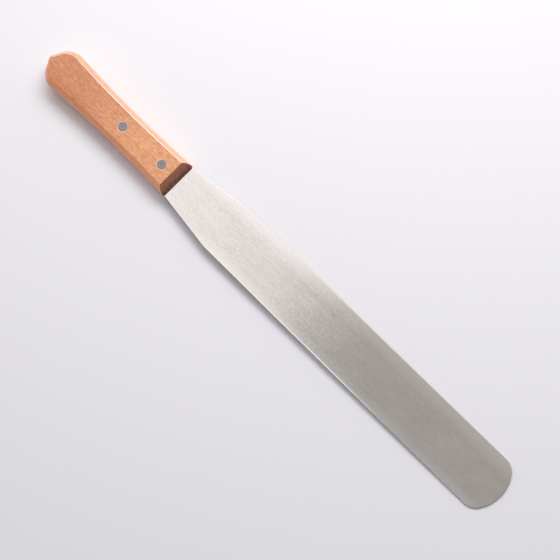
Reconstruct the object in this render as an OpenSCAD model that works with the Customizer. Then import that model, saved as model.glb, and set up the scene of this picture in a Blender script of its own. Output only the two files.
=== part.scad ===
// Straight icing spatula (palette knife): a flexible steel blade whose tang sits in a saw kerf
// of a one-piece wooden handle and is held there by two cutler's rivets.
// X runs along the tool with the blade's tip at +X, Y is the blade's width and Z is up.
// The origin is the centre of the bounding box's bottom, so the handle's underside is on Z = 0.

/* [Blade] */
// Length of the blade in front of the handle
blade_l = 305; // [150:1:370]
// Width of the blade's parallel part
blade_w = 40; // [34:0.5:48]
// Width of the blade where it leaves the handle
blade_root_w = 28; // [23:0.2:28.2]
// Length over which the blade flares from its root to its full width
flare_l = 45.5; // [30:0.5:60]
// Radius that eases the corner between the flare and the parallel part
flare_r = 30; // [5:1:60]
// Sheet thickness in the tang and at the handle
blade_t = 1.3; // [0.8:0.1:2]
// Sheet thickness at the tip, after taper grinding
blade_tip_t = 0.8; // [0.4:0.1:1.2]
// Radius of the arc across the tip
tip_r = 27; // [25:0.5:60]
// Radius of the tip's two corners
tip_corner_r = 11.5; // [3:0.5:15]

/* [Handle] */
// Length of the handle
handle_l = 132; // [110:1:160]
// Thickness of the handle between its two flat faces
handle_t = 14; // [11:0.5:20]
// Width at the front end
handle_front_w = 29.2; // [28.8:0.2:36]
// Width at the waist
handle_waist_w = 27; // [22:0.2:28.6]
// Widest width, at the butt's shoulders
handle_butt_w = 31; // [29:0.2:38]
// Distance from the front end to the waist
waist_pos = 54; // [40:1:66]
// Distance from the butt's peak to its widest place
shoulder_pos = 16.2; // [15.5:0.1:24]
// Radius of the butt's two shoulders
shoulder_r = 14.3; // [9:0.1:14.4]
// Radius of the butt's blunt peak
peak_r = 5; // [4.9:0.1:8]
// How far a rounded side leans in between the middle plane and a flat face
side_inset = 3.8; // [2:0.1:4.8]
// Length along the handle of the two bevels at its front end
bevel_run = 6.1; // [3:0.1:9]
// Height left between the saw kerf and each bevel at the front end
lip_h = 0.3; // [0.25:0.05:1]
// Radius of the front end's corners, seen from above
front_corner_r = 2; // [0.5:0.1:4]
// Thickness of the lacquer film on the bevels
film_t = 0.15; // [0.1:0.01:0.18]

/* [Tang and saw kerf] */
// Length of the tang behind the rear rivet
tang_tail = 15; // [7:0.5:24]
// Distance of the tang's long edges from the handle's widest outline
tang_inset = 0.4; // [0.2:0.1:3]
// Radius of the tang's rear corners
tang_corner_r = 4; // [1:0.5:10]
// Gap between the tang and each wall of the kerf
kerf_gap = 0.05; // [0.02:0.01:0.2]
// Depth of the kerf behind the tang, on the centre line
kerf_end_gap = 2; // [1.5:0.1:6]
// Radius of the circular saw that cuts the kerf
saw_r = 60; // [50:1:120]

/* [Rivets] */
// Distance from the handle's front end to the front rivet
front_rivet_pos = 15.5; // [13:0.5:22]
// Distance between the two rivets
rivet_pitch = 39.5; // [25:0.5:48]
// Diameter of the rivet heads
head_d = 6.5; // [5.6:0.1:10]
// Thickness of the rivet heads
head_h = 1.5; // [1:0.1:3]
// Outer diameter of the female half's tube
tube_d = 4.5; // [3.8:0.1:4.8]
// Diameter of the male half's shank
shank_d = 3; // [2:0.1:3.2]
// Diameter of the punch mark in the middle of each head
mark_d = 1.4; // [0.8:0.1:2]
// Depth of the punch mark
mark_depth = 0.25; // [0.1:0.05:0.5]
// Radial clearance of each rivet half in the wood, and of the shank in the tube
rivet_gap = 0.02; // [0.01:0.01:0.05]
// Radial clearance of the tube in the tang's holes
tang_hole_gap = 0.2; // [0.1:0.05:0.5]
// Clearance beyond the ends of the shank and of the tube
end_gap = 0.2; // [0.1:0.1:1]

/* [Hidden] */

$fn = 64;
arc_step = 5;        // most degrees between two points of an outline's tight arcs
long_arc_steps = 8;  // steps along each long arc of the handle's outline
side_levels = 6;     // levels from the middle plane to a flat face of the handle
through = 1;         // overshoot of a cut past the face that it opens

mid_z = handle_t / 2;                       // height of the middle plane
front_x = handle_l - (handle_l + blade_l) / 2;  // where the blade leaves the handle
rear_rivet_pos = front_rivet_pos + rivet_pitch;
tang_l = rear_rivet_pos + tang_tail;
kerf_l = tang_l + kerf_end_gap;
kerf_half_t = blade_t / 2 + kerf_gap;

// ---- Shared helpers ----

function steps(from, to, count) = [for (i = [0 : count]) from + (to - from) * i / count];
function arc(centre, radius, from, to, count = 0) =
    let (fine = count > 0 ? count : ceil(abs(to - from) / arc_step))
    [for (a = steps(from, to, fine)) centre + radius * [cos(a), sin(a)]];
function reflected(points) = [for (i = [len(points) - 1 : -1 : 0]) [points[i].x, -points[i].y]];

// Draws its children as an outline in the XZ plane and gives it a width along Y
module across(width) {
    rotate([90, 0, 0])
        linear_extrude(height = width, center = true)
            children();
}

// Repeats its children upside down about the middle plane
module both_faces() {
    children();
    upside_down() children();
}

module upside_down() {
    translate([0, 0, handle_t])
        mirror([0, 0, 1])
            children();
}

// ---- Handle outline: the X axis is the centre line and the front end is at X = front_x ----

butt_x = front_x - handle_l;
waist_x = front_x - waist_pos;
shoulder = [butt_x + shoulder_pos, handle_butt_w / 2 - shoulder_r];   // centre of the +Y shoulder
waist_h = handle_waist_w / 2;

// The concave arc from the front end to the waist
nose_rise = handle_front_w / 2 - waist_h;
nose_r = (pow(waist_pos, 2) + pow(nose_rise, 2)) / (2 * nose_rise);
nose_angle = asin((waist_pos + 2 * through) / nose_r);

// The concave arc from the waist to the shoulder, tangent to the shoulder's circle
reach = waist_x - shoulder.x;
drop = waist_h - shoulder.y;
waist_r = (pow(reach, 2) + pow(drop, 2) - pow(shoulder_r, 2)) / (2 * (shoulder_r - drop));
waist_angle = asin(reach / (waist_r + shoulder_r));

// The straight facet between the shoulder's circle and the peak's, tangent to both
peak = [butt_x + peak_r, 0];
facet_angle = atan(shoulder.y / (shoulder.x - peak.x))
    + acos((peak_r - shoulder_r) / norm(shoulder - peak));

// Radius of the rounded sides in section
side_r = (pow(side_inset, 2) + pow(mid_z, 2)) / (2 * side_inset);

// The +Y half of the outline, moved inwards by inset, from the front end to the butt's peak.
// facet_angle is the direction that the facet faces.
function half_outline(inset) = concat(
    arc([waist_x, waist_h + nose_r], nose_r + inset, nose_angle - 90, -90, long_arc_steps),
    arc([waist_x, waist_h + waist_r], waist_r + inset,
        -90 - waist_angle / long_arc_steps, -90 - waist_angle, long_arc_steps - 1),
    arc(shoulder, shoulder_r - inset, 90 - waist_angle + arc_step / 2, facet_angle),
    arc(peak, peak_r - inset, facet_angle, 180));

function outline(inset) =
    let (half = half_outline(inset), last = len(half) - 1)
    concat(half, [for (i = [last - 1 : -1 : 0]) [half[i].x, -half[i].y]]);

// Half width of the outline at a distance behind the front end, on its two concave arcs
function half_width(back) =
    let (radius = back < waist_pos ? nose_r : waist_r)
    waist_h + radius - sqrt(pow(radius, 2) - pow(back - waist_pos, 2));

// The handle before any cut: one ring of points for each level between the flat faces
module handle_blank() {
    heights = [for (i = [-side_levels : side_levels]) mid_z * i / side_levels];
    rings = [for (h = heights) outline(side_r - sqrt(pow(side_r, 2) - pow(h, 2)))];
    size = len(rings[0]);
    top = len(heights) - 1;
    points = [for (k = [0 : top]) for (p = rings[k]) [p.x, p.y, mid_z + heights[k]]];
    walls = [for (k = [0 : top - 1]) for (i = [0 : size - 1])
        [k * size + i, (k + 1) * size + i, (k + 1) * size + (i + 1) % size, k * size + (i + 1) % size]];
    bottom_face = [[for (i = [0 : size - 1]) i]];
    top_face = [[for (i = [size - 1 : -1 : 0]) top * size + i]];
    polyhedron(points = points, faces = concat(bottom_face, walls, top_face), convexity = 4);
}

// ---- Front end: each bevel runs from a flat face down to the lip above the kerf ----

lip_z = mid_z + kerf_half_t + lip_h;
bevel_rise = handle_t - lip_z;
bevel_slope = norm([bevel_run, bevel_rise]);
film_back = film_t * bevel_slope / bevel_rise;   // the film's thickness measured along X
film_down = film_t * bevel_slope / bevel_run;    // the film's thickness measured along Z
bevel_top = [front_x - bevel_run, handle_t];
bevel_foot = [front_x, lip_z];
wood_top = bevel_top - [film_back, 0];
wood_foot = bevel_foot - [0, film_down];
past_top = through * (bevel_top - bevel_foot) / bevel_slope;   // carries a slope on past the flat face

// Everything above the wooden slope under the film, and everything in front of the handle
module bevel_cut() {
    across(2 * handle_butt_w)
        polygon([wood_foot, wood_top + past_top,
                 [front_x + 4 * through, wood_top.y + past_top.y], [front_x + 4 * through, mid_z],
                 [front_x, mid_z]]);
}

// What rounding the front end's two corners takes away
module corner_cut() {
    centre = [front_x - front_corner_r, handle_front_w / 2 - front_corner_r];
    for (side = [-1, 1])
        translate([0, 0, -through])
            linear_extrude(height = handle_t + 2 * through)
                difference() {
                    translate([centre.x, side > 0 ? centre.y : -centre.y - 2 * front_corner_r])
                        square(2 * front_corner_r);
                    translate([centre.x, side * centre.y])
                        circle(front_corner_r);
                }
}

// The curved-bottomed slot that the circular saw leaves
module kerf() {
    translate([front_x - kerf_l + saw_r, 0, mid_z - kerf_half_t])
        cylinder(r = saw_r, h = 2 * kerf_half_t, $fn = 180);
}

module at_rivets() {
    for (back = [front_rivet_pos, rear_rivet_pos])
        translate([front_x - back, 0, 0])
            children();
}

// A bore for the tube right through, with a counterbore for a head at each face
module rivet_bore() {
    translate([0, 0, -through])
        cylinder(d = tube_d + 2 * rivet_gap, h = handle_t + 2 * through);
    both_faces()
        translate([0, 0, -through])
            cylinder(d = head_d + 2 * rivet_gap, h = head_h + through);
}

module handle() {
    color("peru")
        difference() {
            handle_blank();
            both_faces() bevel_cut();
            corner_cut();
            kerf();
            at_rivets() rivet_bore();
        }
}

// ---- Lacquer films on the bevels ----

// Half width of the handle's section at a distance behind the front end and a height, with the
// front end's corners rounded
function section_half(back, z) =
    let (into_corner = max(front_corner_r - back, 0))
    half_width(back)
        - (side_r - sqrt(pow(side_r, 2) - pow(z - mid_z, 2)))
        - (front_corner_r - sqrt(pow(front_corner_r, 2) - pow(into_corner, 2)));

// The outline that a slope from foot to head, both in the XZ plane, has within the section
function slope_outline(foot, head) =
    let (
        run = foot.x - head.x,
        corner_backs = [for (a = steps(0, 90, 4)) front_corner_r * (1 - cos(a))],
        side_backs = [for (back = steps(front_corner_r, run, side_levels)) if (back > front_corner_r) back],
        half = [for (back = concat(corner_backs, side_backs))
            let (z = foot.y + (head.y - foot.y) * back / run)
            [front_x - back, section_half(back, z), z]])
    concat(half, [for (i = [len(half) - 1 : -1 : 0]) [half[i].x, -half[i].y, half[i].z]]);

// A film between the wooden slope and the bevel, closed by walls all round
module film() {
    inner = slope_outline(wood_foot, wood_top);
    outer = slope_outline(bevel_foot, bevel_top);
    size = len(inner);
    walls = [for (i = [0 : size - 1]) [i, (i + 1) % size, size + (i + 1) % size, size + i]];
    inner_face = [[for (i = [size - 1 : -1 : 0]) i]];
    outer_face = [[for (i = [0 : size - 1]) size + i]];
    color("saddlebrown")
        polyhedron(points = concat(inner, outer), faces = concat(inner_face, outer_face, walls));
}

module front_lacquer_top() { film(); }
module front_lacquer_bottom() { upside_down() film(); }

// ---- Blade with its tang ----

tip_x = front_x + blade_l;
tang_end_x = front_x - tang_l;
flare_rise = (blade_w - blade_root_w) / 2;
flare_angle = atan(flare_rise / flare_l);
ease_l = flare_r * tan(flare_angle / 2);   // how far the eased corner reaches along the edge
tip_corner = [tip_x - tip_r + sqrt(pow(tip_r - tip_corner_r, 2) - pow(blade_w / 2 - tip_corner_r, 2)),
              blade_w / 2 - tip_corner_r];
tip_angle = asin(tip_corner.y / (tip_r - tip_corner_r));

// The +Y half of the plan, from the tang's rear end to the middle of the tip
function half_plan() = concat(
    arc([tang_end_x + tang_corner_r, half_width(tang_l) - tang_inset - tang_corner_r],
        tang_corner_r, 180, 90),
    [for (back = steps(tang_l - tang_corner_r, 0, 2 * long_arc_steps))
        if (back < tang_l - tang_corner_r) [front_x - back, half_width(back) - tang_inset]],
    [[front_x, blade_root_w / 2]],
    arc([front_x + flare_l + ease_l, blade_w / 2 - flare_r], flare_r, 90 + flare_angle, 90, 3),
    arc(tip_corner, tip_corner_r, 90, tip_angle),
    [for (p = arc([tip_x - tip_r, 0], tip_r, tip_angle, 0)) if (p.y < tip_r * sin(tip_angle) - 0.01) p]);

module blade() {
    half = half_plan();
    color("silver")
        difference() {
            intersection() {
                linear_extrude(height = handle_t)
                    polygon(concat(half, reflected([for (p = half) if (p.y > 0) p])));
                across(2 * blade_w)
                    polygon([[tang_end_x, mid_z - blade_t / 2], [front_x, mid_z - blade_t / 2],
                             [tip_x, mid_z - blade_tip_t / 2], [tip_x, mid_z + blade_tip_t / 2],
                             [front_x, mid_z + blade_t / 2], [tang_end_x, mid_z + blade_t / 2]]);
            }
            at_rivets()
                cylinder(d = tube_d + 2 * tang_hole_gap, h = handle_t);
        }
}

// ---- Rivets: the male half's shank is pressed into the female half's tube ----

module head() {
    difference() {
        cylinder(d = head_d, h = head_h);
        translate([0, 0, -through])
            cylinder(d = mark_d, h = mark_depth + through);
    }
}

module male_half() {
    color("lightgray")
        upside_down() {
            head();
            translate([0, 0, head_h])
                cylinder(d = shank_d, h = handle_t - 2 * head_h - end_gap);
        }
}

module female_half() {
    color("lightgray") {
        head();
        translate([0, 0, head_h])
            difference() {
                cylinder(d = tube_d, h = handle_t - 2 * head_h - end_gap);
                cylinder(d = shank_d + 2 * rivet_gap, h = handle_t);
            }
    }
}

module rivet_front_male() { translate([front_x - front_rivet_pos, 0, 0]) male_half(); }
module rivet_front_female() { translate([front_x - front_rivet_pos, 0, 0]) female_half(); }
module rivet_rear_male() { translate([front_x - rear_rivet_pos, 0, 0]) male_half(); }
module rivet_rear_female() { translate([front_x - rear_rivet_pos, 0, 0]) female_half(); }

blade();
handle();
front_lacquer_top();
front_lacquer_bottom();
rivet_front_male();
rivet_front_female();
rivet_rear_male();
rivet_rear_female();
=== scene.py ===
"""The looks of a straight icing spatula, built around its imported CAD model.

A flexible steel blade sits in the saw kerf of a varnished wooden handle, held by two cutler's
rivets, and the two bevels at the handle's front end are lacquered brown. The tool lies on a pale
table under soft studio light. X runs along the tool to the blade's tip, Y across it and Z up, in
metres. A pair of numbers called a span says where something is 0 and where it is 1.
"""

from __future__ import annotations

import logging
import math
from collections.abc import Mapping, Sequence
from dataclasses import dataclass
from enum import Enum
from functools import cached_property

import bmesh
import bpy
from mathutils import Matrix, Vector

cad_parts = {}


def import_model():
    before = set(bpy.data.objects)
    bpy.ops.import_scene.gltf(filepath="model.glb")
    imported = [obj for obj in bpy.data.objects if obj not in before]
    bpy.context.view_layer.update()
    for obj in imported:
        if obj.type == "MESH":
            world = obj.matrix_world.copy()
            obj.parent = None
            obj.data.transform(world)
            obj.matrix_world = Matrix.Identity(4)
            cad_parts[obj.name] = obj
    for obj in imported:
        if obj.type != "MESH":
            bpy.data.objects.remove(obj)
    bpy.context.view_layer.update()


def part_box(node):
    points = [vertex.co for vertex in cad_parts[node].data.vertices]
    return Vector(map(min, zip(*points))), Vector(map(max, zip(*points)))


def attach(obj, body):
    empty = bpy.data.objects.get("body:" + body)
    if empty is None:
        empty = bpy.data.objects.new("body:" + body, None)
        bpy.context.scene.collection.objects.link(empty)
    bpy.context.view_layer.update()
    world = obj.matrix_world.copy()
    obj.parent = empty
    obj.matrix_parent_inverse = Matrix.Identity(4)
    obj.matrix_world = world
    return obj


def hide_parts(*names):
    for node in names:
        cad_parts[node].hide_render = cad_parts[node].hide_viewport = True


MM = 0.001
MERGE_DISTANCE = 0.0005 * MM
AIM_AHEAD = 99.5 * MM
AIM_ASIDE = 0.4 * MM
BODY = "root"
SHARP_ANGLE = math.radians(28)
LOG = logging.getLogger("icing_spatula")

Point = tuple[float, float]
Span = tuple[float, float]
Colour = tuple[float, float, float]
Socket = bpy.types.NodeSocket
Piece = bpy.types.Object


class Slot(Enum):
    """The record's material slots."""

    BLADE_STEEL = "blade_steel"
    HANDLE_WOOD = "handle_wood"
    BROWN_LACQUER = "brown_lacquer"
    RIVET_METAL = "rivet_metal"


class Face(Enum):
    """The two flat faces of the handle, as the direction of Z that each looks in."""

    TOP = 1
    BOTTOM = -1


# ---- Shader graphs ----


def linear(red: int, green: int, blue: int) -> Colour:
    """Turns a colour from the display's 0 to 255 scale into linear light.

    Args:
        red: Red, from 0 to 255.
        green: Green, from 0 to 255.
        blue: Blue, from 0 to 255.

    Returns:
        The three linear values.
    """
    shares = (channel / 255 for channel in (red, green, blue))
    return tuple(s / 12.92 if s <= 0.04045 else ((s + 0.055) / 1.055) ** 2.4 for s in shares)


@dataclass(frozen=True)
class Value:
    """A number that varies over a surface: one socket, with arithmetic that adds Math nodes."""

    graph: Graph
    socket: Socket

    def _math(self, operation: str, first: object, second: object = 0.0) -> Value:
        """Adds one Math node.

        Args:
            operation: The Math node's operation.
            first: Its first value or link.
            second: Its second value or link.

        Returns:
            The node's result.
        """
        node = self.graph.add("ShaderNodeMath", {"operation": operation}, {0: first, 1: second})
        return Value(self.graph, node.outputs[0])

    def __add__(self, other: Value | float) -> Value:
        """Adds other."""
        return self._math("ADD", self, other)

    def __radd__(self, other: Value | float) -> Value:
        """Is added to other."""
        return self._math("ADD", other, self)

    def __sub__(self, other: Value | float) -> Value:
        """Takes other away."""
        return self._math("SUBTRACT", self, other)

    def __rsub__(self, other: Value | float) -> Value:
        """Is taken away from other."""
        return self._math("SUBTRACT", other, self)

    def __mul__(self, other: Value | float) -> Value:
        """Multiplies by other."""
        return self._math("MULTIPLY", self, other)

    def __rmul__(self, other: Value | float) -> Value:
        """Multiplies other."""
        return self._math("MULTIPLY", other, self)

    def __truediv__(self, other: Value | float) -> Value:
        """Divides by other."""
        return self._math("DIVIDE", self, other)

    def __abs__(self) -> Value:
        """Drops the sign."""
        return self._math("ABSOLUTE", self)

    def hypot(self, other: Value) -> Value:
        """The length of the vector that has self and other as its two parts."""
        return self._math("POWER", self * self + other * other, 0.5)

    def step(self, low: float, high: float) -> Value:
        """Rises smoothly from 0 at low to 1 at high, or falls when low is the larger.

        Args:
            low: Where the result is 0.
            high: Where the result is 1.

        Returns:
            The smooth step.
        """
        falls = low > high
        ends = {"From Min": min(low, high), "From Max": max(low, high), "Value": self}
        node = self.graph.add("ShaderNodeMapRange", {"interpolation_type": "SMOOTHSTEP"}, ends)
        rising = Value(self.graph, node.outputs["Result"])
        return 1 - rising if falls else rising


class Graph:
    """A node tree, with one way of adding nodes to it."""

    def __init__(self, tree: bpy.types.NodeTree) -> None:
        """Empties the tree.

        Args:
            tree: The node tree of a material or of the world.
        """
        self.tree = tree
        tree.nodes.clear()

    def add(
        self, kind: str, settings: Mapping[str, object], sockets: Mapping[str | int, object]
    ) -> bpy.types.Node:
        """Adds one node.

        Args:
            kind: The node's type.
            settings: Its properties, which are set before its sockets.
            sockets: The value or the link of each input, by name or number.

        Returns:
            The new node.
        """
        node = self.tree.nodes.new(kind)
        for name, setting in settings.items():
            setattr(node, name, setting)
        for name, given in sockets.items():
            if isinstance(given, Value):
                given = given.socket
            if isinstance(given, Socket):
                self.tree.links.new(given, node.inputs[name])
            elif isinstance(given, tuple) and node.inputs[name].type == "RGBA":
                node.inputs[name].default_value = (*given, 1.0)
            else:
                node.inputs[name].default_value = given
        return node

    def place(self, output: str = "Object") -> Socket:
        """The place on the piece, in metres in its own frame."""
        return self.add("ShaderNodeTexCoord", {}, {}).outputs[output]

    def parts(self, vector: Socket) -> tuple[Value, Value, Value]:
        """Splits a vector into its X, Y and Z."""
        node = self.add("ShaderNodeSeparateXYZ", {}, {0: vector})
        return tuple(Value(self, out) for out in node.outputs)

    def normal(self) -> tuple[Value, Value, Value]:
        """The X, Y and Z of the direction that the surface faces."""
        return self.parts(self.add("ShaderNodeNewGeometry", {}, {}).outputs["Normal"])

    def stretched(self, vector: Socket, x: float = 1.0, y: float = 1.0) -> Socket:
        """Slows a vector's run, which draws out the pattern that is read with it.

        Args:
            vector: The vector.
            x: What its X is multiplied by.
            y: What its Y is multiplied by.

        Returns:
            The new vector.
        """
        sockets = {0: vector, 1: (x, y, 1.0)}
        return self.add("ShaderNodeVectorMath", {"operation": "MULTIPLY"}, sockets).outputs[0]

    def shifted(self, vector: Socket, by: Value) -> Socket:
        """Moves a vector's three parts by one varying amount.

        Args:
            vector: The vector.
            by: What is added to each part.

        Returns:
            The new vector.
        """
        return self.add("ShaderNodeVectorMath", {"operation": "ADD"}, {0: vector, 1: by}).outputs[0]

    def noise(
        self, vector: Socket, size: float, detail: float = 2.0, roughness: float = 0.5
    ) -> Value:
        """A cloudy pattern from 0 to 1, about 0.5.

        Args:
            vector: Where the pattern is read.
            size: The size of its clouds, in the vector's unit.
            detail: How many finer layers it has.
            roughness: How strong the finer layers are.

        Returns:
            The pattern.
        """
        sockets = {"Vector": vector, "Scale": 1 / size, "Detail": detail, "Roughness": roughness}
        return Value(self, self.add("ShaderNodeTexNoise", {}, sockets).outputs[0])

    def specks(self, vector: Socket, size: float) -> Value:
        """How far the nearest of many scattered points is, in sizes.

        Args:
            vector: Where the pattern is read.
            size: The usual distance between two points, in the vector's unit.

        Returns:
            The distance.
        """
        node = self.add("ShaderNodeTexVoronoi", {}, {"Vector": vector, "Scale": 1 / size})
        return Value(self, node.outputs["Distance"])

    def mix(self, factor: Value | float, first: object, second: object) -> Socket:
        """Mixes two colours.

        Args:
            factor: The share of the second colour.
            first: The colour, or its socket, at factor 0.
            second: The colour, or its socket, at factor 1.

        Returns:
            The mixed colour.
        """
        sockets = {0: factor, 6: first, 7: second}
        return self.add("ShaderNodeMix", {"data_type": "RGBA"}, sockets).outputs[2]

    def bump(self, height: Value, depth: float, strength: float = 1.0) -> Socket:
        """Tilts the surface's normal as a relief would.

        Args:
            height: The relief.
            depth: How high a relief of 1 stands, in metres.
            strength: The share of the tilt that is kept.

        Returns:
            The new normal.
        """
        sockets = {"Strength": strength, "Distance": depth, "Height": height}
        return self.add("ShaderNodeBump", {}, sockets).outputs[0]


@dataclass(frozen=True)
class Finish:
    """What every finish shares: how its material is made and given to a piece."""

    name: str
    slot: Slot | None

    def surface(self, graph: Graph) -> dict[str, object]:
        """The sockets of the Principled shader, which each finish works out for itself."""
        raise NotImplementedError

    @cached_property
    def material(self) -> bpy.types.Material:
        """The finish as a material, made the first time that it is asked for.

        Returns:
            The material.
        """
        made = bpy.data.materials.new(self.name)
        made.use_nodes = True
        graph = Graph(made.node_tree)
        shader = graph.add("ShaderNodeBsdfPrincipled", {}, self.surface(graph))
        graph.add("ShaderNodeOutputMaterial", {}, {"Surface": shader.outputs[0]})
        return made

    def dress(self, piece: Piece) -> None:
        """Gives the finish to a piece.

        Args:
            piece: A piece with no material yet.
        """
        piece.data.materials.clear()
        piece.data.materials.append(self.material)


@dataclass(frozen=True)
class BrushedSteel(Finish):
    """Stainless sheet, brushed along the blade, with painted highlights by the handle and along its
    edges, and painted shade on its +Y eased edge.
    """

    front_x: float
    half_width: float
    metal: Colour = (0.77, 0.715, 0.659)
    # Painted shade colour for the +Y eased edge.
    cloud: Colour = (0.595, 0.552, 0.51)
    # Painted highlight colour, for the long edges and near the handle.
    painted_highlight: Colour = (0.84, 0.79, 0.74)
    wear_and_painted_shade: Colour = (0.3, 0.29, 0.28)
    # Painted reflection colour for a thin strip along the -Y edge.
    painted_reflection: Colour = (1.0, 0.98, 0.95)
    highlight_mid_y: float = -1.5 * MM
    brush_width: float = 0.55 * MM
    brush_slowness: float = 0.09
    brush_depth: float = 0.012 * MM
    ripple_size: float = 1.5 * MM
    ripple_slowness: float = 0.6
    ripple_depth: float = 0.02 * MM
    cloud_size: float = 12 * MM
    gloss: float = 0.12
    reflection_rim: Span = (1.3 * MM, 1.0 * MM)
    relief_rim: Span = (0.6 * MM, 1.5 * MM)
    grainy_span: Span = (190 * MM, 130 * MM)
    root_span: Span = (60 * MM, -10 * MM)
    painted_shade_span: Span = (70 * MM, 130 * MM)
    reflection_start: Span = (60 * MM, 110 * MM)
    reflection_end: Span = (235 * MM, 170 * MM)
    eased_lean: Span = (0.9995, 0.97)

    def surface(self, graph: Graph) -> dict[str, object]:
        """Long fine brush marks over shallow ripples and faint clouds.

        Args:
            graph: The material's graph.

        Returns:
            The sockets of the Principled shader.
        """
        place = graph.place()
        x, y, _ = graph.parts(place)
        ahead = x - self.front_x
        along = graph.stretched(place, x=self.brush_slowness)
        fine = graph.noise(along, self.brush_width, detail=3.0, roughness=0.7)
        broad = graph.noise(along, 5 * self.brush_width, detail=2.0)
        ripple_place = graph.stretched(place, x=self.ripple_slowness)
        ripple = graph.noise(ripple_place, self.ripple_size, detail=3.0, roughness=0.6)
        clouds = graph.noise(ripple_place, self.cloud_size, detail=4.0, roughness=0.6)

        grainy = 0.4 + 0.6 * ahead.step(*self.grainy_span)
        streaks = 0.5 * (fine - 0.5) + 0.15 * (broad - 0.5) + 0.35 * (ripple - 0.5)
        tone = (0.5 + 0.25 * (clouds - 0.5) + grainy * streaks).step(0.3, 0.7)
        colour = graph.mix(tone, self.cloud, self.metal)
        # Painted highlight: the colour is made lighter towards both long edges and towards the
        # handle.
        to_edge = abs(y - self.highlight_mid_y).step(0.5 * self.half_width, self.half_width)
        to_root = ahead.step(*self.root_span)
        colour = graph.mix(0.72 * to_edge + 0.35 * to_root, colour, self.painted_highlight)

        _, side, lean = graph.normal()
        eased = abs(lean).step(*self.eased_lean)
        # Painted shade: the +Y eased edge is darkened, more so further along the blade, to dim its
        # highlight.
        wear_and_painted_shade = eased * (0.1 + 0.5 * ahead.step(*self.painted_shade_span))
        colour = graph.mix(wear_and_painted_shade * side.step(-0.1, 0.1), colour, self.wear_and_painted_shade)
        # Painted reflection: a thin near-white strip along the -Y edge, where the rounded edge
        # mirrors the bright table.
        reflection_strip = (y + self.half_width).step(*self.reflection_rim)
        reflection_strip = reflection_strip * ahead.step(*self.reflection_start) * ahead.step(*self.reflection_end)
        colour = graph.mix(reflection_strip, colour, self.painted_reflection)

        relief = self.brush_depth * (fine + 0.5 * broad) + self.ripple_depth * ripple
        relief = relief * (self.half_width - abs(y)).step(*self.relief_rim)
        return {
            "Base Color": colour,
            "Metallic": 1.0,
            "Roughness": self.gloss + 0.05 * (fine - 0.5) + 0.6 * eased + 0.12 * reflection_strip,
            "Normal": graph.bump(relief, 1.0),
        }


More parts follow.
